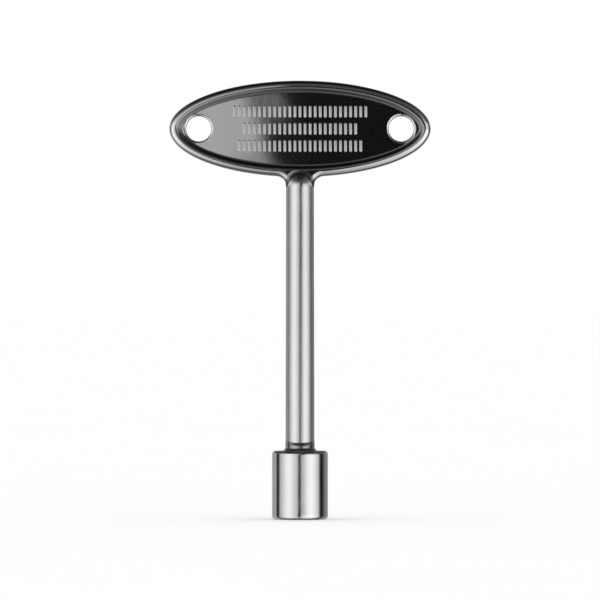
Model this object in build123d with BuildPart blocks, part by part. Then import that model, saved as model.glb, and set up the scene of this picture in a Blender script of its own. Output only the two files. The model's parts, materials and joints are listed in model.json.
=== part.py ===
from build123d import *
from math import radians, tan
import os

# A T-handled key for the square stems of gas valves, in millimetres.
#
# The key stands on the mouth of its socket. The origin is the centre of the mouth, +Z runs up the
# shank to the handle, the handle's plate lies in the XZ plane, and its marked face looks along -Y.
# It is built up: the socket is brazed to the shank's spigot, and the handle is cast round the
# shank's tang. All of it is then polished and chromed.

# Whole key
reach = 77.8  # from the socket's mouth up to the handle's lower edge

# Handle: an oval plate with a raised rounded rim, recessed on both faces
handle_length = 59.4
handle_height = 21.9
rim_thickness = 3.4
rim_edge_radius = 1.3  # rounds the outside of the rim, on both faces
rim_crest_width = 0.1  # flat left on top of the rim
recess_depth = 0.56
recess_slope = 40.0  # degrees between the recess's wall and its floor
recess_top_radius = 0.95  # rounds the rim into the wall
recess_floor_radius = 1.25  # rounds the wall into the floor
hole_diameter = 5.7
hole_spacing = 46.0
hole_edge_radius = 0.45

# Raised marks: rows of plain upright ribs in the middle of the front face
rib_width = 0.65
rib_length = 2.8
rib_height = 0.3
rib_pitch = 1.15
rib_rows = ((27, 3.9), (23, 0.0), (25, -3.9))  # ribs in the row, height above the handle's middle

# Neck: the handle's round foot, which ends in a dome half sunk in the plate
neck_diameter = 6.35
neck_drop = 2.9  # from the handle's lower edge down to the neck's foot
dome_drop = 2.1  # from the handle's lower edge down to the dome's centre
flare_gap = 6.25  # between the flares, just inside the neck's sides
flare_radius = 2.2  # blends the neck's sides into the rim

# Shank: a round bar, slightly thicker at the socket
shank_top_diameter = neck_diameter
shank_bottom_diameter = 6.6
tang_width = 4.6
tang_thickness = 1.5
tang_length = 5.0
tang_corner = 0.8
notch_radius = 0.55  # the casting fills the notches, so the tang can't pull out
notch_height = 2.6  # above the tang's root
spigot_diameter = 4.5
spigot_chamfer = 0.25

# Socket: a barrel with a square recess in two steps
socket_diameter = 12.7
socket_length = 15.6
socket_top_radius = 0.8
socket_mouth_radius = 0.8
wide_square = 8.05  # takes a 5/16 inch stem
wide_depth = 8.0
small_square = 6.45  # takes a 1/4 inch stem
small_depth = 12.5  # measured from the mouth
square_corner_radius = 0.6
lead_in = 0.3

# Braze fillet: a concave ring on the socket's shoulder, and the thin collar of it up the shank
collar_thickness = 0.1
collar_height = 2.1  # from the socket's shoulder
fillet_radius = 0.8
fillet_land = 0.06  # thickness that the ring's outer edge keeps

# Worked out from the sizes above
handle_middle = reach + handle_height / 2
handle_top = reach + handle_height
web_thickness = rim_thickness - 2 * recess_depth
wall_top_inset = rim_edge_radius + rim_crest_width + recess_top_radius * tan(radians(recess_slope / 2))
wall_foot_inset = wall_top_inset + recess_depth / tan(radians(recess_slope))
neck_foot = reach - neck_drop
dome_centre = reach - dome_drop
shank_bottom_radius = shank_bottom_diameter / 2
collar_radius = shank_bottom_radius + collar_thickness
collar_top = socket_length + collar_height
fillet_outer = collar_radius + fillet_radius
fillet_foot = socket_length + fillet_land
fillet_top = fillet_foot + fillet_radius

os.makedirs("parts", exist_ok=True)

# Shank: tapered bar, flat tang at the top, turned spigot at the bottom
with BuildPart() as shank:
    with BuildSketch(Plane.XY.offset(socket_length)):
        Circle(shank_bottom_radius)
    with BuildSketch(Plane.XY.offset(neck_foot)):
        Circle(shank_top_diameter / 2)
    loft()
    with BuildSketch(Plane.XZ):
        with Locations((0, neck_foot)):
            Rectangle(tang_width, tang_length, align=(Align.CENTER, Align.MIN))
        with Locations((0, neck_foot + notch_height)):
            with GridLocations(tang_width, 0, 2, 1):
                Circle(notch_radius, mode=Mode.SUBTRACT)
    extrude(amount=tang_thickness / 2, both=True)
    tang_tip = shank.faces().sort_by(Axis.Z)[-1]
    chamfer(tang_tip.edges().filter_by(Axis.Y), tang_corner)
    with BuildSketch(Plane.XY.offset(small_depth)):
        Circle(spigot_diameter / 2)
    extrude(amount=socket_length - small_depth)
    spigot_end = shank.faces().sort_by(Axis.Z)[0]
    chamfer(spigot_end.edges(), spigot_chamfer)

# Socket: barrel, two square steps from the mouth, and the hole that holds the shank's spigot
with BuildPart() as socket:
    with BuildSketch():
        Circle(socket_diameter / 2)
    extrude(amount=socket_length)
    fillet(socket.faces().sort_by(Axis.Z)[-1].edges(), socket_top_radius)
    fillet(socket.faces().sort_by(Axis.Z)[0].edges(), socket_mouth_radius)
    for side, depth in ((wide_square, wide_depth), (small_square, small_depth)):
        with BuildSketch():
            RectangleRounded(side, side, square_corner_radius)
        extrude(amount=depth, mode=Mode.SUBTRACT)
    mouth = socket.faces().sort_by(Axis.Z)[0]
    chamfer(mouth.inner_wires()[0].edges(), lead_in)
    with BuildSketch(Plane.XY.offset(small_depth)):
        Circle(spigot_diameter / 2)
    extrude(amount=socket_length - small_depth, mode=Mode.SUBTRACT)

# Braze fillet: its section is turned round the shank's axis, and the shank is taken out of it
with BuildPart() as braze_fillet:
    with BuildSketch(Plane.XZ):
        with BuildLine():
            Polyline(
                (collar_radius, fillet_top),
                (collar_radius, collar_top),
                (0, collar_top),
                (0, socket_length),
                (fillet_outer, socket_length),
                (fillet_outer, fillet_foot),
            )
            CenterArc((fillet_outer, fillet_top), fillet_radius, start_angle=180, arc_size=90)
        make_face()
    revolve(axis=Axis.Z)
    add(shank.part, mode=Mode.SUBTRACT)

# Handle
with BuildPart() as handle:
    # Plate, with a strip below it whose corners are filleted into the two flares
    with BuildSketch(Plane.XZ.offset(-rim_thickness / 2)):
        with Locations((0, handle_middle)):
            Ellipse(handle_length / 2, handle_height / 2)
        with Locations((0, dome_centre)):
            Rectangle(flare_gap, handle_height / 2, align=(Align.CENTER, Align.MIN))
    extrude(amount=rim_thickness)
    flare_corners = handle.edges().filter_by(Axis.Y).sort_by(Axis.Z)[2:4]
    fillet(flare_corners, flare_radius)
    face_edges = handle.edges().filter_by(Plane.XZ)
    outline = face_edges.filter_by_position(Axis.Z, dome_centre, handle_top, inclusive=(False, True))
    fillet(outline, rim_edge_radius)

    # Recess in each face: a sloping wall, rounded into the rim above and into the floor below
    for side in (1, -1):
        for height, inset in ((rim_thickness / 2, wall_top_inset), (web_thickness / 2, wall_foot_inset)):
            with BuildSketch(Plane.XZ.offset(side * height)):
                with Locations((0, handle_middle)):
                    Ellipse(handle_length / 2, handle_height / 2)
                offset(amount=-inset)
        loft(mode=Mode.SUBTRACT)
    crests = handle.faces().filter_by(Plane.XZ).filter_by(lambda face: len(face.inner_wires()) > 0)
    fillet([edge for crest in crests for edge in crest.inner_wires()[0].edges()], recess_top_radius)
    floors = handle.faces().filter_by(Plane.XZ).sort_by(SortBy.AREA)[-2:]
    fillet([edge for floor in floors for edge in floor.outer_wire().edges()], recess_floor_radius)

    # Neck and its dome, turned round the shank's axis
    with BuildSketch(Plane.XZ):
        with Locations((0, dome_centre)):
            Circle(neck_diameter / 2)
            Rectangle(neck_diameter, neck_drop - dome_drop, align=(Align.CENTER, Align.MAX))
        split(bisect_by=Plane.YZ)
    revolve(axis=Axis.Z)

    # Hanging holes
    with BuildSketch(Plane.XZ.offset(-web_thickness / 2)):
        with Locations((0, handle_middle)):
            with GridLocations(hole_spacing, 0, 2, 1):
                Circle(hole_diameter / 2)
    extrude(amount=web_thickness, mode=Mode.SUBTRACT)
    fillet(handle.edges(Select.LAST).filter_by(GeomType.CIRCLE), hole_edge_radius)

    # Raised marks on the front face
    with BuildSketch(Plane.XZ.offset(web_thickness / 2)):
        for rib_count, row_height in rib_rows:
            with Locations((0, handle_middle + row_height)):
                with GridLocations(rib_pitch, 0, rib_count, 1):
                    SlotOverall(rib_length, rib_width, rotation=90)
    extrude(amount=rib_height)

    # Room for the shank's tang
    add(shank.part, mode=Mode.SUBTRACT)

handle.part.label = "handle"
shank.part.label = "shank"
socket.part.label = "socket"
braze_fillet.part.label = "braze_fillet"
for piece in (handle, shank, socket, braze_fillet):
    export_step(piece.part, f"parts/{piece.part.label}.step")
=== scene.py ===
import json
from math import cos, pi, radians, sin, tan

import bmesh
import bpy
import numpy as np
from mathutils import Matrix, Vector


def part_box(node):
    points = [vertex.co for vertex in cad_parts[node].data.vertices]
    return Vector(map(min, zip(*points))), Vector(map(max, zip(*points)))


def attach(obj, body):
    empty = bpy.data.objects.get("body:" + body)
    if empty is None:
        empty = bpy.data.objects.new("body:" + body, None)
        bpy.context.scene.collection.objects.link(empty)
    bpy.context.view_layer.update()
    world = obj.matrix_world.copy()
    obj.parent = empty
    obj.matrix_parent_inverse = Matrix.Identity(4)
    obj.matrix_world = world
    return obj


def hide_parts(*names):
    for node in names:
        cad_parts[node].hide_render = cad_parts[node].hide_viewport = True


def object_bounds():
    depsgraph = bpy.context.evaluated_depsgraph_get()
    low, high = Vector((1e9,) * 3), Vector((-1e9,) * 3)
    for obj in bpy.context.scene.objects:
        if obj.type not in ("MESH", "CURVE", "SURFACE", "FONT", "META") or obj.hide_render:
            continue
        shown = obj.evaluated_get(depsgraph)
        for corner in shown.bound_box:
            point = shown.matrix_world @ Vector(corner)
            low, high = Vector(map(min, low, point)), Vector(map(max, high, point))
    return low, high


# A chromed T-handled key for the square stems of gas valves, standing on the mouth of its socket.
# Meshes are worked out in millimetres in the part's own frame, and become metres in new_piece().

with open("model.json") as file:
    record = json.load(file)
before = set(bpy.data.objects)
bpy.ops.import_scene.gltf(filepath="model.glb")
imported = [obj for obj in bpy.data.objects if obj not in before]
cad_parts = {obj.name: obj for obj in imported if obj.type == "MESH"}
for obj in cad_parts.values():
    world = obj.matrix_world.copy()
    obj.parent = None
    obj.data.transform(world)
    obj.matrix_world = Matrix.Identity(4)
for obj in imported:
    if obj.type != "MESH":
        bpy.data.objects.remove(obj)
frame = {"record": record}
cad_low, cad_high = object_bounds()

MM = 0.001  # metres in a millimetre


def box_in_mm(node):
    low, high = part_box(node)
    return np.array(low) / MM, np.array(high) / MM


# Sizes and places from the frame
handle_low, handle_high = box_in_mm("handle")
shank_low, shank_high = box_in_mm("shank")
_, socket_high = box_in_mm("socket")
_, fillet_high = box_in_mm("braze_fillet")
mounts = {mount["name"]: mount for mount in frame["record"]["mounts"]}
hole_radius = mounts["right_hole"]["dims"]["r_mm"]
hole_x, _, handle_middle = np.array(mounts["right_hole"]["pos_m"]) / MM

half_length = handle_high[0]
half_height = handle_high[2] - handle_middle
neck_radius = handle_high[1]
neck_foot = handle_low[2]
shank_radius = shank_high[0]
spigot_end = shank_low[2]  # also the floor of the socket's square recess
shoulder = socket_high[2]
socket_radius = socket_high[0]

# Handle, in millimetres
RIM_THICKNESS = 3.4
RIM_EDGE_RADIUS = 1.3
RIM_CREST_WIDTH = 0.1
WEB_THICKNESS = 2.28
RECESS_SLOPE = radians(40)
RECESS_TOP_RADIUS = 0.95
RECESS_FLOOR_RADIUS = 0.7
HOLE_EDGE_RADIUS = 0.45
DOME_RISE = 0.8  # from the neck's foot up to the centre of its dome
FLARE_GAP = 6.25
FLARE_RADIUS = 2.2
CASTING_RADIUS = 0.9  # softens the corner where the dome sinks into the plate's faces
CASTING_SHARE = 0.25  # what is left of that radius in the plate's middle plane
FACE_REACH = 1.5  # from the plate's middle plane to where the full radius holds
CROWN = 0.3  # each face falls back by this much at the handle's ends
CASTING_WAVE = 0.003  # height of the faint waves in the cast faces
WAVE_FADE = 4.0  # height over which they set in above the dome's centre

dome_centre = neck_foot + DOME_RISE
crest_end = RIM_EDGE_RADIUS + RIM_CREST_WIDTH  # from the outline to where the recess begins

# Handle's mesh
GRID_STEP = 0.17
RELAX = 0.6  # share of the way that a point moves towards its neighbours' middle
RELAX_ROUNDS = 8
NECK_SKIN = 0.1  # faces this close to the neck's surface count as the neck's

# Painted shade and thinner plating: a vertex attribute on the recess's walls, and in the corner round
# the dome, that darkens the colour there as painted shade and dulls it for the thinner plating
THIN_PLATING_AND_SHADE = "thin_plating_and_shade"
THIN_AND_SHADED_WALL_START = -0.2  # from where the recess begins
THIN_AND_SHADED_WALL_RISE = 0.7
THIN_AND_SHADED_WALL_END = 1.45
THIN_AND_SHADED_WALL_FALL = 0.3
THIN_AND_SHADED_CORNER_REACH = 1.4  # in casting radii

# Marks: ribs in the row, height of the row above the handle's middle
RIB_ROWS = ((27, 3.9), (23, 0.0), (25, -3.9))
RIB_PITCH = 1.15
RIB_LENGTH = 2.8
RIB_WIDTH = 0.65
RIB_HEIGHT = 0.3

# Polishing ripples on the round bars
RIPPLE_HEIGHT = 0.004
RIPPLE_FADE = 3.0  # length over which they die out at a bar's ends

# Shank
SPIGOT_RADIUS = 2.25
SPIGOT_CHAMFER = 0.25
TURNED_SIDES = 144  # directions in a turned ring

# Socket
TOP_RADIUS = 0.8
MOUTH_RADIUS = 0.8
WIDE_SQUARE = 8.05
WIDE_DEPTH = 8.0
SMALL_SQUARE = 6.45
SQUARE_CORNER_RADIUS = 0.6
LEAD_IN = 0.3
CRISP = 0.05  # distance of a ring from a sharp edge, to keep the edge sharp

# Braze: a fillet in the corner, and a collar up the shank that is thickest in front and behind
FILLET_HEIGHT = 0.86
COLLAR_THIN = 0.03
COLLAR_THICK = 0.32
COLLAR_CREEP = 0.3  # how much higher its sides reach than the frame's solid
COLLAR_LIP = 1.05  # height over which its upper edge runs out
COLLAR_DIP = 0.4  # how much lower that edge lies in front and behind
COLLAR_OVERLAP = 0.02  # how deep it sits in the shank


# ---------------------------------------------------------------------------------------------
# Mesh building
# ---------------------------------------------------------------------------------------------


def new_piece(name, points, faces, node, materials, sharp_angle=40):
    """A smooth-shaded piece that rides on the key, takes a material slot, and may stand for a node."""
    mesh = bpy.data.meshes.new(name)
    mesh.from_pydata((np.asarray(points) * MM).tolist(), [], [list(map(int, face)) for face in faces])
    mesh.validate()
    piece = bpy.data.objects.new(name, mesh)
    bpy.context.scene.collection.objects.link(piece)
    for material in materials:
        mesh.materials.append(material)
    mesh.shade_smooth()
    mesh.set_sharp_from_angle(angle=radians(sharp_angle))
    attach(piece, "root")
    if node:
        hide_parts(node)
    return piece


def ring_faces(ring_count, size, first=0):
    """Quads between rings of equal size, each ring starting where the one before it ends."""
    faces = []
    for ring in range(ring_count - 1):
        for i in range(size):
            a = first + ring * size + i
            b = first + ring * size + (i + 1) % size
            faces.append((a, b, b + size, a + size))
    return faces


def capped_faces(ring_count, size, first=0):
    """Quads between rings, and a flat cap on the first and the last of them."""
    last = first + (ring_count - 1) * size
    faces = ring_faces(ring_count, size, first)
    faces.append([first + i for i in reversed(range(size))])
    faces.append([last + i for i in range(size)])
    return faces


def closed_faces(ring_count, size):
    """Quads between rings that run up the inside and down the outside, the last joined to the first."""
    last = (ring_count - 1) * size
    faces = [face[::-1] for face in ring_faces(ring_count, size)]
    faces += [(last + (i + 1) % size, last + i, i, (i + 1) % size) for i in range(size)]
    return faces


def ring_points(angles, rings):
    """Points of rings round the shank's axis. A radius or height is one number, or one per angle."""
    points = []
    for radius, height in rings:
        heights = np.broadcast_to(height, angles.shape)
        points += zip(radius * np.cos(angles), radius * np.sin(angles), heights)
    return points


def turned_angles():
    return np.arange(TURNED_SIDES) * 2 * pi / TURNED_SIDES


def arc(centre, radius, start, end, count):
    """Points of an arc in a section, as (distance from the axis, height); angles in degrees."""
    angles = np.radians(np.linspace(start, end, count))
    return [(centre[0] + radius * cos(a), centre[1] + radius * sin(a)) for a in angles]


def line(start, end, spacing):
    """Points along a straight run of a section, without its last one."""
    start, end = np.array(start, float), np.array(end, float)
    count = max(1, int(np.ceil(np.linalg.norm(end - start) / spacing)))
    return [tuple(start + (end - start) * i / count) for i in range(count)]


def smooth(value):
    """Eases a value between 0 and 1, and holds it outside them."""
    value = np.clip(value, 0, 1)
    return value * value * (3 - 2 * value)


def polish_ripple(angle, height, low, high):
    """The shallow waves that hand polishing cuts into round bars, dying out near both ends."""
    wave = np.sin(2 * angle + height / 5.1 + 0.7) + 0.8 * np.sin(3 * angle - height / 7.3 + 2.0) - 1.8
    fade = np.clip((height - low) / RIPPLE_FADE, 0, 1) * np.clip((high - height) / RIPPLE_FADE, 0, 1)
    return RIPPLE_HEIGHT * wave * fade


def rippled(section, angles, low, high):
    """Rings of a section turned round the shank's axis, with ripples between two heights."""
    return [(radius + polish_ripple(angles, height, low, high), height) for radius, height in section]


def face_sag(across):
    """How far the handle's crowned faces have fallen back at a distance from the middle."""
    return CROWN * (across / half_length) ** 2


# ---------------------------------------------------------------------------------------------
# Handle: a surface net round a distance field
# ---------------------------------------------------------------------------------------------


def round_union(a, b, radius):
    """Joins two distance fields, with a fillet in the corner between them."""
    return np.maximum(radius, np.minimum(a, b)) - np.hypot(
        np.maximum(radius - a, 0), np.maximum(radius - b, 0)
    )


def round_overlap(a, b, radius):
    """Keeps what two distance fields share, with its edge rounded."""
    return -round_union(-a, -b, radius)


def oval_distance(across, up):
    """Distance to the handle's outline, negative inside, by walking along its evolute."""
    a, b = half_length, half_height
    px, py = np.abs(across), np.abs(up)
    tx = ty = np.full(np.broadcast(px, py).shape, np.sqrt(0.5))
    for _ in range(6):
        evolute_x = (a * a - b * b) * tx**3 / a
        evolute_y = (b * b - a * a) * ty**3 / b
        reach = np.hypot(a * tx - evolute_x, b * ty - evolute_y)
        qx, qy = px - evolute_x, py - evolute_y
        scale = reach / np.maximum(np.hypot(qx, qy), 1e-9)
        tx = np.clip((qx * scale + evolute_x) / a, 0, 1)
        ty = np.clip((qy * scale + evolute_y) / b, 0, 1)
        size = np.maximum(np.hypot(tx, ty), 1e-9)
        tx, ty = tx / size, ty / size
    gap = np.hypot(px - a * tx, py - b * ty)
    return np.where((px / a) ** 2 + (py / b) ** 2 < 1, -gap, gap)


def face_height(inset):
    """Half the plate's thickness at a distance inside its outline: crest, sloping wall, web."""
    crest, web = RIM_THICKNESS / 2, WEB_THICKNESS / 2
    wall_top = crest_end + RECESS_TOP_RADIUS * tan(RECESS_SLOPE / 2)
    wall_foot = wall_top + (crest - web) / tan(RECESS_SLOPE)
    floor_start = wall_foot + RECESS_FLOOR_RADIUS * tan(RECESS_SLOPE / 2)
    top_run = np.clip(inset - crest_end, 0, RECESS_TOP_RADIUS * sin(RECESS_SLOPE))
    top = crest - RECESS_TOP_RADIUS + np.sqrt(RECESS_TOP_RADIUS**2 - top_run**2)
    foot_run = np.clip(floor_start - inset, 0, RECESS_FLOOR_RADIUS * sin(RECESS_SLOPE))
    foot = web + RECESS_FLOOR_RADIUS - np.sqrt(RECESS_FLOOR_RADIUS**2 - foot_run**2)
    wall = crest - (inset - wall_top) * tan(RECESS_SLOPE)
    top_end = crest_end + RECESS_TOP_RADIUS * sin(RECESS_SLOPE)
    foot_start = floor_start - RECESS_FLOOR_RADIUS * sin(RECESS_SLOPE)
    return np.where(inset < top_end, top, np.where(inset < foot_start, wall, foot))


def beside_plate(y):
    """0 in the plate's middle plane, 1 at its faces and beyond."""
    return smooth(np.abs(y) / FACE_REACH)


def neck_distance(x, y, z):
    """Distance to the neck and its dome, negative inside."""
    return np.hypot(np.hypot(x, y), np.maximum(z - dome_centre, 0)) - neck_radius


def handle_field(x, y, z):
    """Distance to the handle's surface, negative in the metal."""
    up = z - handle_middle
    oval = oval_distance(x, up)
    strip = np.maximum(np.abs(x) - FLARE_GAP / 2, np.maximum(dome_centre - z, up))
    outline = round_union(oval, strip, FLARE_RADIUS)
    depth = np.abs(y) + face_sag(x)
    side = outline + RIM_EDGE_RADIUS
    face = depth - RIM_THICKNESS / 2 + RIM_EDGE_RADIUS
    plate = np.hypot(np.maximum(side, 0), np.maximum(face, 0)) - RIM_EDGE_RADIUS
    plate = plate + np.minimum(np.maximum(side, face), 0)
    plate = np.maximum(plate, depth - face_height(-oval))
    hole = hole_radius - np.hypot(np.abs(x) - hole_x, up)
    plate = round_overlap(plate, hole, HOLE_EDGE_RADIUS)
    wave = CASTING_WAVE * (2 + np.sin(x / 1.9 + z / 3.1) + np.sin(x / 3.3 - z / 2.3 + 1.0))
    wave = wave * np.clip((z - dome_centre) / WAVE_FADE, 0, 1)
    casting = CASTING_RADIUS * (CASTING_SHARE + (1 - CASTING_SHARE) * beside_plate(y))
    return round_union(plate, neck_distance(x, y, z), casting) + wave


def handle_slope(points):
    """Gradient of the field at the points."""
    nudge = 0.004
    slope = np.empty_like(points)
    for axis in range(3):
        step = np.zeros(3)
        step[axis] = nudge
        ahead = handle_field(*(points + step).T)
        behind = handle_field(*(points - step).T)
        slope[:, axis] = (ahead - behind) / (2 * nudge)
    return slope


def onto_surface(points):
    """Moves points along the field's slope until they lie on the surface."""
    for _ in range(2):
        slope = handle_slope(points)
        steep = np.maximum((slope**2).sum(1), 0.1)  # kept off zero in creases
        move = handle_field(*points.T) / steep
        points = points - slope * np.clip(move, -GRID_STEP, GRID_STEP)[:, None]
    return points


def surface_net(values, low, step):
    """One point in each cell that the surface crosses, and a quad round each edge that it crosses."""
    inside = values < 0
    # How many of each cell's eight corners lie in the metal
    counts = sum(
        inside[i : i - 1 or None, j : j - 1 or None, k : k - 1 or None].astype(np.int8)
        for i in (0, 1)
        for j in (0, 1)
        for k in (0, 1)
    )
    mixed = (counts > 0) & (counts < 8)
    number = np.full(mixed.shape, -1)
    number[mixed] = np.arange(mixed.sum())
    points = (np.argwhere(mixed) + 0.5) * step + low
    quads = []
    for axis in range(3):
        u, v = (axis + 1) % 3, (axis + 2) % 3
        ahead = np.moveaxis(inside, axis, 0)[1:]
        behind = np.moveaxis(inside, axis, 0)[:-1]
        at = np.argwhere(np.moveaxis(ahead != behind, 0, axis))
        at = at[(at[:, u] > 0) & (at[:, v] > 0)]
        at = at[(at[:, u] < mixed.shape[u]) & (at[:, v] < mixed.shape[v])]
        back_u, back_v = np.eye(3, dtype=int)[u], np.eye(3, dtype=int)[v]
        cells = [at, at - back_u, at - back_u - back_v, at - back_v]
        loop = np.stack([number[tuple(cell.T)] for cell in cells], 1)
        leaving = inside[tuple(at.T)]
        quads.append(np.where(leaving[:, None], loop, loop[:, ::-1]))
    return points, np.concatenate(quads)


def relaxed(points, quads, rounds):
    """Evens out the net, keeping it on the surface."""
    uses = np.bincount(quads.ravel(), minlength=len(points))
    for _ in range(rounds):
        centres = np.repeat(points[quads].mean(1), 4, axis=0)
        sums = [np.bincount(quads.ravel(), centres[:, axis], len(points)) for axis in range(3)]
        middles = np.stack(sums, 1) / uses[:, None]
        points = onto_surface((1 - RELAX) * points + RELAX * middles)
    return points


def cut_at_neck_foot(piece):
    """Cuts the neck off flat at its foot and closes it."""
    mesh = bmesh.new()
    mesh.from_mesh(piece.data)
    everything = mesh.verts[:] + mesh.edges[:] + mesh.faces[:]
    foot = (0, 0, neck_foot * MM)
    cut = bmesh.ops.bisect_plane(
        mesh, geom=everything, dist=1e-7, plane_co=foot, plane_no=(0, 0, -1), clear_outer=True
    )
    rim = [item for item in cut["geom_cut"] if isinstance(item, bmesh.types.BMEdge)]
    bmesh.ops.contextual_create(mesh, geom=rim)
    mesh.to_mesh(piece.data)
    mesh.free()
    piece.data.shade_smooth()
    piece.data.set_sharp_from_angle(angle=radians(50))


def mark_thin_plating_and_shade(mesh):
    """Gives each vertex 1 on the recess's walls and in the corner round the dome, 0 elsewhere."""
    x, y, z = np.array([vertex.co for vertex in mesh.vertices]).T / MM
    down_recess = -oval_distance(x, z - handle_middle) - crest_end
    wall = smooth((down_recess - THIN_AND_SHADED_WALL_START) / THIN_AND_SHADED_WALL_RISE)
    wall = wall * smooth((THIN_AND_SHADED_WALL_END - down_recess) / THIN_AND_SHADED_WALL_FALL)
    corner = smooth(THIN_AND_SHADED_CORNER_REACH - np.abs(neck_distance(x, y, z)) / CASTING_RADIUS)
    corner = corner * smooth((z - neck_foot) / DOME_RISE) * beside_plate(y)
    attribute = mesh.attributes.new(THIN_PLATING_AND_SHADE, "FLOAT", "POINT")
    attribute.data.foreach_set("value", np.maximum(wall, corner))


def mark_neck(mesh):
    """Gives the neck and its dome the mesh's second material."""
    x, y, z = np.array([polygon.center for polygon in mesh.polygons]).T / MM
    on_neck = neck_distance(x, y, z) < NECK_SKIN
    mesh.polygons.foreach_set("material_index", on_neck.astype(int))


def make_handle(material, neck_material):
    """The neck is made to run on a little below its foot, where it is then cut off."""
    margin = 2.2 * GRID_STEP
    low = np.array([-half_length, -neck_radius, neck_foot - 3 * GRID_STEP]) - margin
    high = np.array([half_length, neck_radius, handle_high[2]]) + margin
    x, y, z = (np.arange(low[i], high[i] + GRID_STEP, GRID_STEP) for i in range(3))
    values = handle_field(x[:, None, None], y[None, :, None], z[None, None, :])
    points, quads = surface_net(values, low, GRID_STEP)
    points = relaxed(onto_surface(points), quads, RELAX_ROUNDS)
    materials = [material, neck_material]
    piece = new_piece("handle_plate", points, quads, "handle", materials)
    cut_at_neck_foot(piece)
    mark_thin_plating_and_shade(piece.data)
    mark_neck(piece.data)


# ---------------------------------------------------------------------------------------------
# Marks: rows of plain ribs on the front face
# ---------------------------------------------------------------------------------------------


def stadium(half_straight, radius, count=8):
    """An upright rounded bar's outline, as (across, up)."""
    upper = [(radius * cos(a), half_straight + radius * sin(a)) for a in np.linspace(0, pi, count)]
    lower = [(-across, -up) for across, up in upper]
    return upper + lower


def rib_rings():
    """Outlines of one rib from its foot to its top, as (across, up, height above the web)."""
    straight = (RIB_LENGTH - RIB_WIDTH) / 2
    radius = RIB_WIDTH / 2
    rings = []
    for angle in np.radians((-15, 5, 22, 38, 53, 67, 80)):  # from just under the web to the top
        outline = stadium(straight, radius * cos(angle))
        rings.append([(a, u, RIB_HEIGHT * sin(angle)) for a, u in outline])
    return rings


def make_marks(material):
    rings = rib_rings()
    size = len(rings[0])
    points, faces = [], []
    for rib_count, row in RIB_ROWS:
        for i in range(rib_count):
            first = len(points)
            x = (i - (rib_count - 1) / 2) * RIB_PITCH
            face_y = face_sag(x) - WEB_THICKNESS / 2
            for ring in rings:
                points += [(x + a, face_y - h, handle_middle + row + u) for a, u, h in ring]
            faces += capped_faces(len(rings), size, first)
    new_piece("handle_marks", points, faces, None, [material], sharp_angle=50)


# ---------------------------------------------------------------------------------------------
# Shank, socket and braze fillet
# ---------------------------------------------------------------------------------------------


def make_shank(material):
    angles = turned_angles()
    spigot = [
        (SPIGOT_RADIUS - SPIGOT_CHAMFER, spigot_end),
        (SPIGOT_RADIUS, spigot_end + SPIGOT_CHAMFER),
        (SPIGOT_RADIUS, shoulder),
    ]
    bar = [(shank_radius, shoulder)]
    # The run starts just past the ring that is already at the shoulder
    bar += line((shank_radius, shoulder + 0.01), (neck_radius, neck_foot), spacing=0.6)
    bar += [(neck_radius, neck_foot)]
    rings = spigot + rippled(bar, angles, shoulder, neck_foot)
    points = ring_points(angles, rings)
    faces = capped_faces(len(rings), len(angles))
    new_piece("shank_bar", points, faces, "shank", [material])


def square_reach(angles, side):
    """Distance from the axis to a square hole's wall, with rounded corners, in each direction."""
    half, radius = side / 2, SQUARE_CORNER_RADIUS
    fold = np.abs((angles + pi / 4) % (pi / 2) - pi / 4)  # 0 at a flat's middle, 45 degrees at a corner
    flat = half / np.cos(fold)
    off = half - radius
    along = off * (np.cos(fold) + np.sin(fold))
    rounded = along + np.sqrt(np.maximum(along**2 - 2 * off**2 + radius**2, 0))
    return np.where(np.tan(fold) * half > off, rounded, flat)


def drive_angles():
    """Directions round the socket, 2 degrees apart, and 0.8 at the corners of its square hole."""
    quarter = np.radians(np.concatenate([np.arange(-37, 37, 2.0), np.arange(37, 53, 0.8)]))
    return np.concatenate([quarter + i * pi / 2 for i in range(4)])


def barrel_section():
    """From the hole for the spigot, over the shoulder and down the outside, to the mouth."""
    top, wall, foot = shoulder - TOP_RADIUS, socket_radius, MOUTH_RADIUS
    section = line((SPIGOT_RADIUS + CRISP, shoulder), (wall - TOP_RADIUS, shoulder), spacing=0.8)
    section += arc((wall - TOP_RADIUS, top), TOP_RADIUS, 90, 0, 9)
    # The wall's run starts just past the arc's last point
    section += line((wall, top - 0.02), (wall, foot), spacing=0.5)
    section += arc((wall - MOUTH_RADIUS, foot), MOUTH_RADIUS, 0, -90, 10)
    return section


def recess_steps():
    """The square recess from its mouth to its floor, as (side of the square, height)."""
    return [
        (WIDE_SQUARE + 2 * LEAD_IN + CRISP, 0.0),
        (WIDE_SQUARE + 2 * LEAD_IN - CRISP, CRISP),
        (WIDE_SQUARE + CRISP, LEAD_IN),
        (WIDE_SQUARE, LEAD_IN + CRISP),
        (WIDE_SQUARE, WIDE_DEPTH / 2),
        (WIDE_SQUARE, WIDE_DEPTH - CRISP),
        (WIDE_SQUARE - 2 * CRISP, WIDE_DEPTH),
        (SMALL_SQUARE + 2 * CRISP, WIDE_DEPTH),
        (SMALL_SQUARE, WIDE_DEPTH + CRISP),
        (SMALL_SQUARE, spigot_end - CRISP),
        (SMALL_SQUARE - 2 * CRISP, spigot_end),
    ]


def make_socket(outer_material, drive_material):
    angles = drive_angles()
    rings = [(SPIGOT_RADIUS, spigot_end), (SPIGOT_RADIUS, shoulder)]
    rings += rippled(barrel_section(), angles, MOUTH_RADIUS, shoulder - TOP_RADIUS)
    lead_in_end = (len(rings) + 1) * len(angles)  # first point past the recess's outermost ring
    rings += [(square_reach(angles, side), height) for side, height in recess_steps()]
    points = ring_points(angles, rings)
    faces = closed_faces(len(rings), len(angles))
    materials = [outer_material, drive_material]
    piece = new_piece(
        "socket_barrel", points, faces, "socket", materials, sharp_angle=35
    )
    for polygon in piece.data.polygons:
        if min(polygon.vertices) >= lead_in_end:
            polygon.material_index = 1


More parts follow.
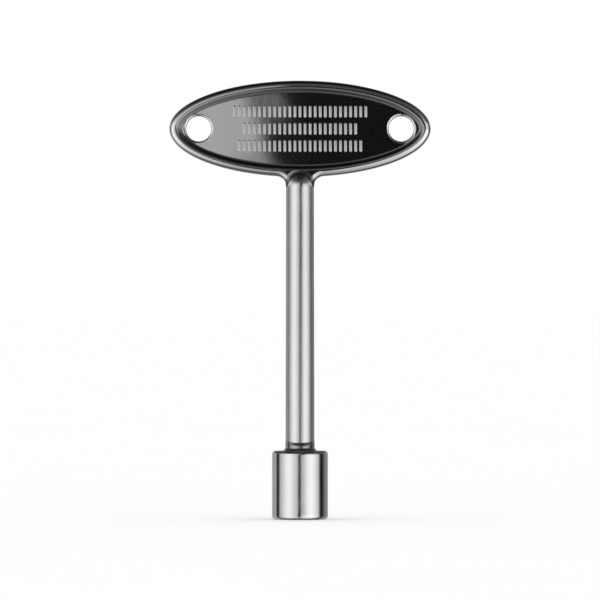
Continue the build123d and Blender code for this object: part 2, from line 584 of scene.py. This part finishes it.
def make_braze_fillet(material):
    angles = turned_angles()
    facing = np.sin(angles) ** 2  # 1 in front and behind, 0 at the sides
    outer, top = fillet_high[0], fillet_high[2] + COLLAR_CREEP - COLLAR_DIP * facing
    collar = shank_radius + COLLAR_THIN + (COLLAR_THICK - COLLAR_THIN) * facing
    inner = np.full(len(angles), shank_radius - COLLAR_OVERLAP)
    rings = [(inner, shoulder), (inner, top)]
    for fall in np.linspace(0, 1, 9)[1:]:
        rings.append((inner + (collar - inner) * smooth(fall), top - COLLAR_LIP * fall))
    for angle in np.radians(np.linspace(180, 270, 14)):
        distance = outer + (outer - collar) * cos(angle)
        rings.append((distance, shoulder + FILLET_HEIGHT * (1 + sin(angle))))
    points = ring_points(angles, rings)
    faces = closed_faces(len(rings), len(angles))
    new_piece("braze_ring", points, faces, "braze_fillet", [material])


# ---------------------------------------------------------------------------------------------
# Materials
# ---------------------------------------------------------------------------------------------

LIGHT_GREY = (0.70, 0.70, 0.71, 1.0)
DARK_GREY = (0.60, 0.60, 0.61, 1.0)
# Dark grey painted as shade on the recess's walls and in the corner round the dome
PAINTED_SHADE_GREY = (0.19, 0.19, 0.19, 1.0)
THIN_ROUGHNESS = 0.15
MARKS_LIGHT = (0.58, 0.58, 0.59, 1.0)
MARKS_DARK = (0.48, 0.48, 0.49, 1.0)
BRAZE_LIGHT = (0.42, 0.42, 0.42, 1.0)
BRAZE_DARK = (0.26, 0.26, 0.26, 1.0)
DRIVE_LIGHT = (0.42, 0.42, 0.42, 1.0)
DRIVE_DARK = (0.25, 0.25, 0.25, 1.0)


def feed(tree, socket, value):
    """Links a node's output to a socket, or sets a plain value on it."""
    if isinstance(value, bpy.types.NodeSocket):
        tree.links.new(value, socket)
    else:
        socket.default_value = value


def calculate(tree, operation, *values):
    """The output of a math node with these inputs."""
    node = tree.nodes.new("ShaderNodeMath")
    node.operation = operation
    for socket, value in zip(node.inputs, values):
        feed(tree, socket, value)
    return node.outputs[0]


def total(tree, *values):
    result = values[0]
    for value in values[1:]:
        result = calculate(tree, "ADD", result, value)
    return result


def product(tree, *values):
    result = values[0]
    for value in values[1:]:
        result = calculate(tree, "MULTIPLY", result, value)
    return result


def glide(tree, value, start, end, low=0.0, high=1.0):
    """Goes smoothly from low, where value is start, to high, where it is end."""
    node = tree.nodes.new("ShaderNodeMapRange")
    node.interpolation_type = "SMOOTHSTEP"
    for name, setting in (("From Min", start), ("From Max", end), ("To Min", low), ("To Max", high)):
        feed(tree, node.inputs[name], setting)
    feed(tree, node.inputs["Value"], value)
    return node.outputs[0]


def noise(tree, place, size, detail, stretch=(1, 1, 1)):
    """Noise whose features are about size millimetres across, longer by stretch along each axis."""
    mapping = tree.nodes.new("ShaderNodeMapping")
    mapping.inputs["Scale"].default_value = [1 / (size * MM * s) for s in stretch]
    feed(tree, mapping.inputs["Vector"], place)
    node = tree.nodes.new("ShaderNodeTexNoise")
    node.inputs["Scale"].default_value = 1.0
    node.inputs["Detail"].default_value = detail
    feed(tree, node.inputs["Vector"], mapping.outputs[0])
    return node.outputs[0]


def blend_colours(tree, factor, first, second):
    """Mixes two colours. They go in at the node's sockets 6 and 7, and come out at its output 2."""
    node = tree.nodes.new("ShaderNodeMix")
    node.data_type = "RGBA"
    feed(tree, node.inputs[0], factor)
    feed(tree, node.inputs[6], first)
    feed(tree, node.inputs[7], second)
    return node.outputs[2]


def make_chrome(
    name, light, dark, gloss, wear, peel, grain_stretch=(1, 1, 1), thin_and_shaded_corners=False, dull_sides=0.0
):
    """Polished chrome plate: hazy patches, polishing grain, a faint orange peel, and painted shade in
    concave creases and hollows.

    gloss is the least roughness, wear is what haze and grain each add to it, and peel is in
    millimetres. When asked for shaded corners, it goes dark grey as painted shade where the plating
    attribute is set, and duller there for the thinner plating; with dull_sides it mirrors less sharply
    where it turns away from the eye.
    """
    material = bpy.data.materials.new(name)
    material.use_nodes = True
    tree = material.node_tree
    shader = tree.nodes["Principled BSDF"]
    shader.inputs["Metallic"].default_value = 1.0
    place = tree.nodes.new("ShaderNodeTexCoord").outputs["Object"]
    haze = noise(tree, place, size=6.0, detail=3)
    grain = noise(tree, place, size=0.25, detail=2, stretch=grain_stretch)
    # Pointiness takes the colour towards the dark grey in concave creases and hollows, as painted
    # shade; the haze darkens it at random.
    pointiness_shade = tree.nodes.new("ShaderNodeNewGeometry").outputs["Pointiness"]
    haze_tone_and_shade = product(tree, glide(tree, haze, 0.3, 0.7, low=0.75), glide(tree, pointiness_shade, 0.42, 0.49))
    colour = blend_colours(tree, haze_tone_and_shade, dark, light)
    rough = glide(tree, haze, 0.3, 0.7, low=gloss, high=gloss + wear)
    rough = calculate(tree, "ADD", rough, glide(tree, grain, 0.35, 0.75, high=wear))
    if thin_and_shaded_corners:
        # Painted shade: where the attribute is set, on the recess's walls and round the dome, the
        # colour goes to a dark grey; the rise in roughness there is for the thinner plating.
        thin_and_shade = tree.nodes.new("ShaderNodeAttribute")
        thin_and_shade.attribute_name = THIN_PLATING_AND_SHADE
        colour = blend_colours(tree, thin_and_shade.outputs["Fac"], colour, PAINTED_SHADE_GREY)
        rough = calculate(tree, "MULTIPLY_ADD", thin_and_shade.outputs["Fac"], THIN_ROUGHNESS, rough)
    if dull_sides:
        turned_away = tree.nodes.new("ShaderNodeLayerWeight").outputs["Facing"]
        rough = calculate(tree, "MULTIPLY_ADD", turned_away, dull_sides, rough)
    feed(tree, shader.inputs["Base Color"], colour)
    feed(tree, shader.inputs["Roughness"], rough)
    orange_peel = noise(tree, place, size=1.6, detail=1)
    relief = calculate(tree, "MULTIPLY_ADD", grain, 0.15, orange_peel)
    bump = tree.nodes.new("ShaderNodeBump")
    bump.inputs["Strength"].default_value = 1.0
    bump.inputs["Distance"].default_value = peel * MM
    feed(tree, bump.inputs["Height"], relief)
    feed(tree, shader.inputs["Normal"], bump.outputs[0])
    return material


# ---------------------------------------------------------------------------------------------
# Studio
# ---------------------------------------------------------------------------------------------

CAMERA_DISTANCE = 1.5
VIEW_HEIGHT = 1.368  # height of the view at the key, in heights of the key
SENSOR_WIDTH = 36.0
CHROME_REFLECTS = 0.68  # the studio's levels are what the chrome shows, so they are divided by this
FLOOR_RADIUS = 30.0
PAPER_WHITE = (1.0, 1.0, 1.0, 1.0)
PAPER_SHADE = (0.99, 0.99, 0.99, 1.0)


def softbox(tree, azimuth, centre, half_width, soft, brightness):
    """A light panel's brightness across its width, fading over its soft edges; all in degrees."""
    away = calculate(tree, "ABSOLUTE", calculate(tree, "SUBTRACT", azimuth, centre))
    return glide(tree, away, half_width + soft / 2, half_width - soft / 2, high=brightness)


def directions(tree):
    """Azimuth, elevation, and the angle to the right of the key's middle plane, in degrees."""
    parts = tree.nodes.new("ShaderNodeSeparateXYZ")
    feed(tree, parts.inputs[0], tree.nodes.new("ShaderNodeTexCoord").outputs["Generated"])
    x, y, z = parts.outputs
    forward = calculate(tree, "MULTIPLY", y, -1.0)
    azimuth = calculate(tree, "DEGREES", calculate(tree, "ARCTAN2", x, forward))
    elevation = calculate(tree, "DEGREES", calculate(tree, "ARCSINE", z))
    aside = calculate(tree, "DEGREES", calculate(tree, "ARCSINE", x))
    return azimuth, elevation, aside


def left_panel(tree, azimuth, elevation):
    light = total(
        tree,
        softbox(tree, azimuth, centre=-48, half_width=45, soft=20, brightness=0.47),
        softbox(tree, azimuth, centre=-48, half_width=20, soft=40, brightness=0.37),
    )
    upper_end = glide(tree, elevation, 42, 4)
    lower_end = glide(tree, elevation, -75, -18, low=0.14)
    return product(tree, light, upper_end, lower_end)


def right_panel(tree, azimuth, elevation):
    light = total(
        tree,
        softbox(tree, azimuth, centre=43, half_width=43, soft=18, brightness=0.56),
        softbox(tree, azimuth, centre=46, half_width=20, soft=40, brightness=0.42),
    )
    upper_end = product(tree, glide(tree, elevation, 27, 12), glide(tree, elevation, 5, -4, low=0.62))
    spill = glide(tree, elevation, 60, 10, high=0.09)
    lower_end = glide(tree, elevation, -75, -5, low=0.35)
    return product(tree, light, calculate(tree, "MAXIMUM", upper_end, spill), lower_end)


def outside_gap(tree, elevation, aside):
    """0 in the dark gap between the panels, 1 on either side. Both its edges shift with elevation."""
    left_shift = glide(tree, elevation, -1.3, -0.5, low=-8, high=0)
    left_edge = product(tree, left_shift, glide(tree, elevation, -25, -8))
    right_shift = glide(tree, elevation, -1.3, 0.6, low=3, high=21)
    right_edge = total(tree, right_shift, glide(tree, elevation, -5, -35, low=0, high=-2))
    left_of_gap = glide(tree, calculate(tree, "SUBTRACT", aside, left_edge), -0.4, -1.7)
    right_of_gap = glide(tree, calculate(tree, "SUBTRACT", aside, right_edge), -0.8, 0.8)
    return total(tree, left_of_gap, right_of_gap)


def rear_wall(tree, azimuth, elevation):
    light = total(
        tree,
        glide(tree, azimuth, -108, -120, high=0.3),
        glide(tree, azimuth, 100, 138, high=0.2),
        glide(tree, azimuth, 150, 180, high=0.1),
    )
    upper_end = glide(tree, elevation, 28, 6)
    lower_end = glide(tree, elevation, -60, -10, low=0.3)
    return product(tree, light, upper_end, lower_end)


def studio_light(tree):
    """What polished metal mirrors: a wide panel on each side, a dark gap in front, a dim rear wall."""
    azimuth, elevation, aside = directions(tree)
    panels = total(tree, left_panel(tree, azimuth, elevation), right_panel(tree, azimuth, elevation))
    front = product(tree, panels, outside_gap(tree, elevation, aside))
    rear = rear_wall(tree, azimuth, elevation)
    tilt = calculate(tree, "ABSOLUTE", elevation)
    glow = product(tree, glide(tree, tilt, 3, 12), glide(tree, tilt, 70, 40, high=0.05))
    darkest = 0.006
    return total(tree, front, rear, glow, darkest)


def make_world():
    """White where it is seen directly and where it lights matt things, the studio in mirrors."""
    world = bpy.data.worlds.new("studio")
    bpy.context.scene.world = world
    world.use_nodes = True
    world.cycles.sampling_method = "NONE"  # it only lights through rays that bounce into it
    tree = world.node_tree
    shader = tree.nodes["Background"]
    rays = tree.nodes.new("ShaderNodeLightPath")
    mirrored = calculate(tree, "DIVIDE", studio_light(tree), CHROME_REFLECTS)
    plain = calculate(tree, "MAXIMUM", rays.outputs["Is Camera Ray"], rays.outputs["Is Diffuse Ray"])
    grey = tree.nodes.new("ShaderNodeCombineColor")
    for socket in grey.inputs:
        feed(tree, socket, mirrored)
    feed(tree, shader.inputs["Color"], blend_colours(tree, plain, grey.outputs[0], PAPER_WHITE))


def make_floor():
    """A disc of white paper that the chrome doesn't mirror."""
    bpy.ops.mesh.primitive_circle_add(vertices=128, radius=FLOOR_RADIUS, fill_type="NGON")
    floor = bpy.context.object
    floor.name = "floor"
    floor.visible_glossy = False
    material = bpy.data.materials.new("pale_floor")
    material.use_nodes = True
    tree = material.node_tree
    shader = tree.nodes["Principled BSDF"]
    shader.inputs["Roughness"].default_value = 1.0
    shader.inputs["Specular IOR Level"].default_value = 0.0
    place = tree.nodes.new("ShaderNodeTexCoord").outputs["Object"]
    patches = noise(tree, place, size=60.0, detail=2)
    feed(tree, shader.inputs["Base Color"], blend_colours(tree, patches, PAPER_SHADE, PAPER_WHITE))
    floor.data.materials.append(material)


def make_camera(low, high):
    """Stands straight in front of the key, level with its middle."""
    camera = bpy.data.objects.new("camera", bpy.data.cameras.new("camera"))
    bpy.context.scene.collection.objects.link(camera)
    bpy.context.scene.camera = camera
    back = Vector((0, -1, 0))
    camera.location = (low + high) / 2 + back * CAMERA_DISTANCE
    camera.rotation_euler = (-back).to_track_quat("-Z", "Y").to_euler()
    half_view = (high.z - low.z) * VIEW_HEIGHT / 2
    camera.data.sensor_width = SENSOR_WIDTH
    camera.data.lens = SENSOR_WIDTH / 2 * CAMERA_DISTANCE / half_view
    camera.data.clip_start = 0.01
    camera.data.clip_end = 100.0


bpy.context.scene.view_settings.view_transform = "Standard"

handle_chrome = make_chrome(
    "handle_chrome", LIGHT_GREY, DARK_GREY, gloss=0.03, wear=0.01, peel=0.001, thin_and_shaded_corners=True
)
marks_chrome = make_chrome(
    "marks_chrome", MARKS_LIGHT, MARKS_DARK, gloss=0.25, wear=0.05, peel=0.002
)
shank_chrome = make_chrome(
    "shank_chrome",
    LIGHT_GREY,
    DARK_GREY,
    gloss=0.15,
    wear=0.03,
    peel=0.001,
    grain_stretch=(1, 1, 12),
    dull_sides=0.5,
)
socket_chrome = make_chrome(
    "socket_chrome", LIGHT_GREY, DARK_GREY, gloss=0.09, wear=0.04, peel=0.0015, grain_stretch=(1, 1, 8)
)
braze_chrome = make_chrome(
    "braze_chrome", BRAZE_LIGHT, BRAZE_DARK, gloss=0.18, wear=0.05, peel=0.004
)
drive_chrome = make_chrome(
    "drive_chrome", DRIVE_LIGHT, DRIVE_DARK, gloss=0.3, wear=0.04, peel=0.01, grain_stretch=(1, 1, 8)
)

make_handle(handle_chrome, shank_chrome)
make_marks(marks_chrome)
make_shank(shank_chrome)
make_socket(socket_chrome, drive_chrome)
make_braze_fillet(braze_chrome)
make_world()
make_floor()
make_camera(cad_low, cad_high)
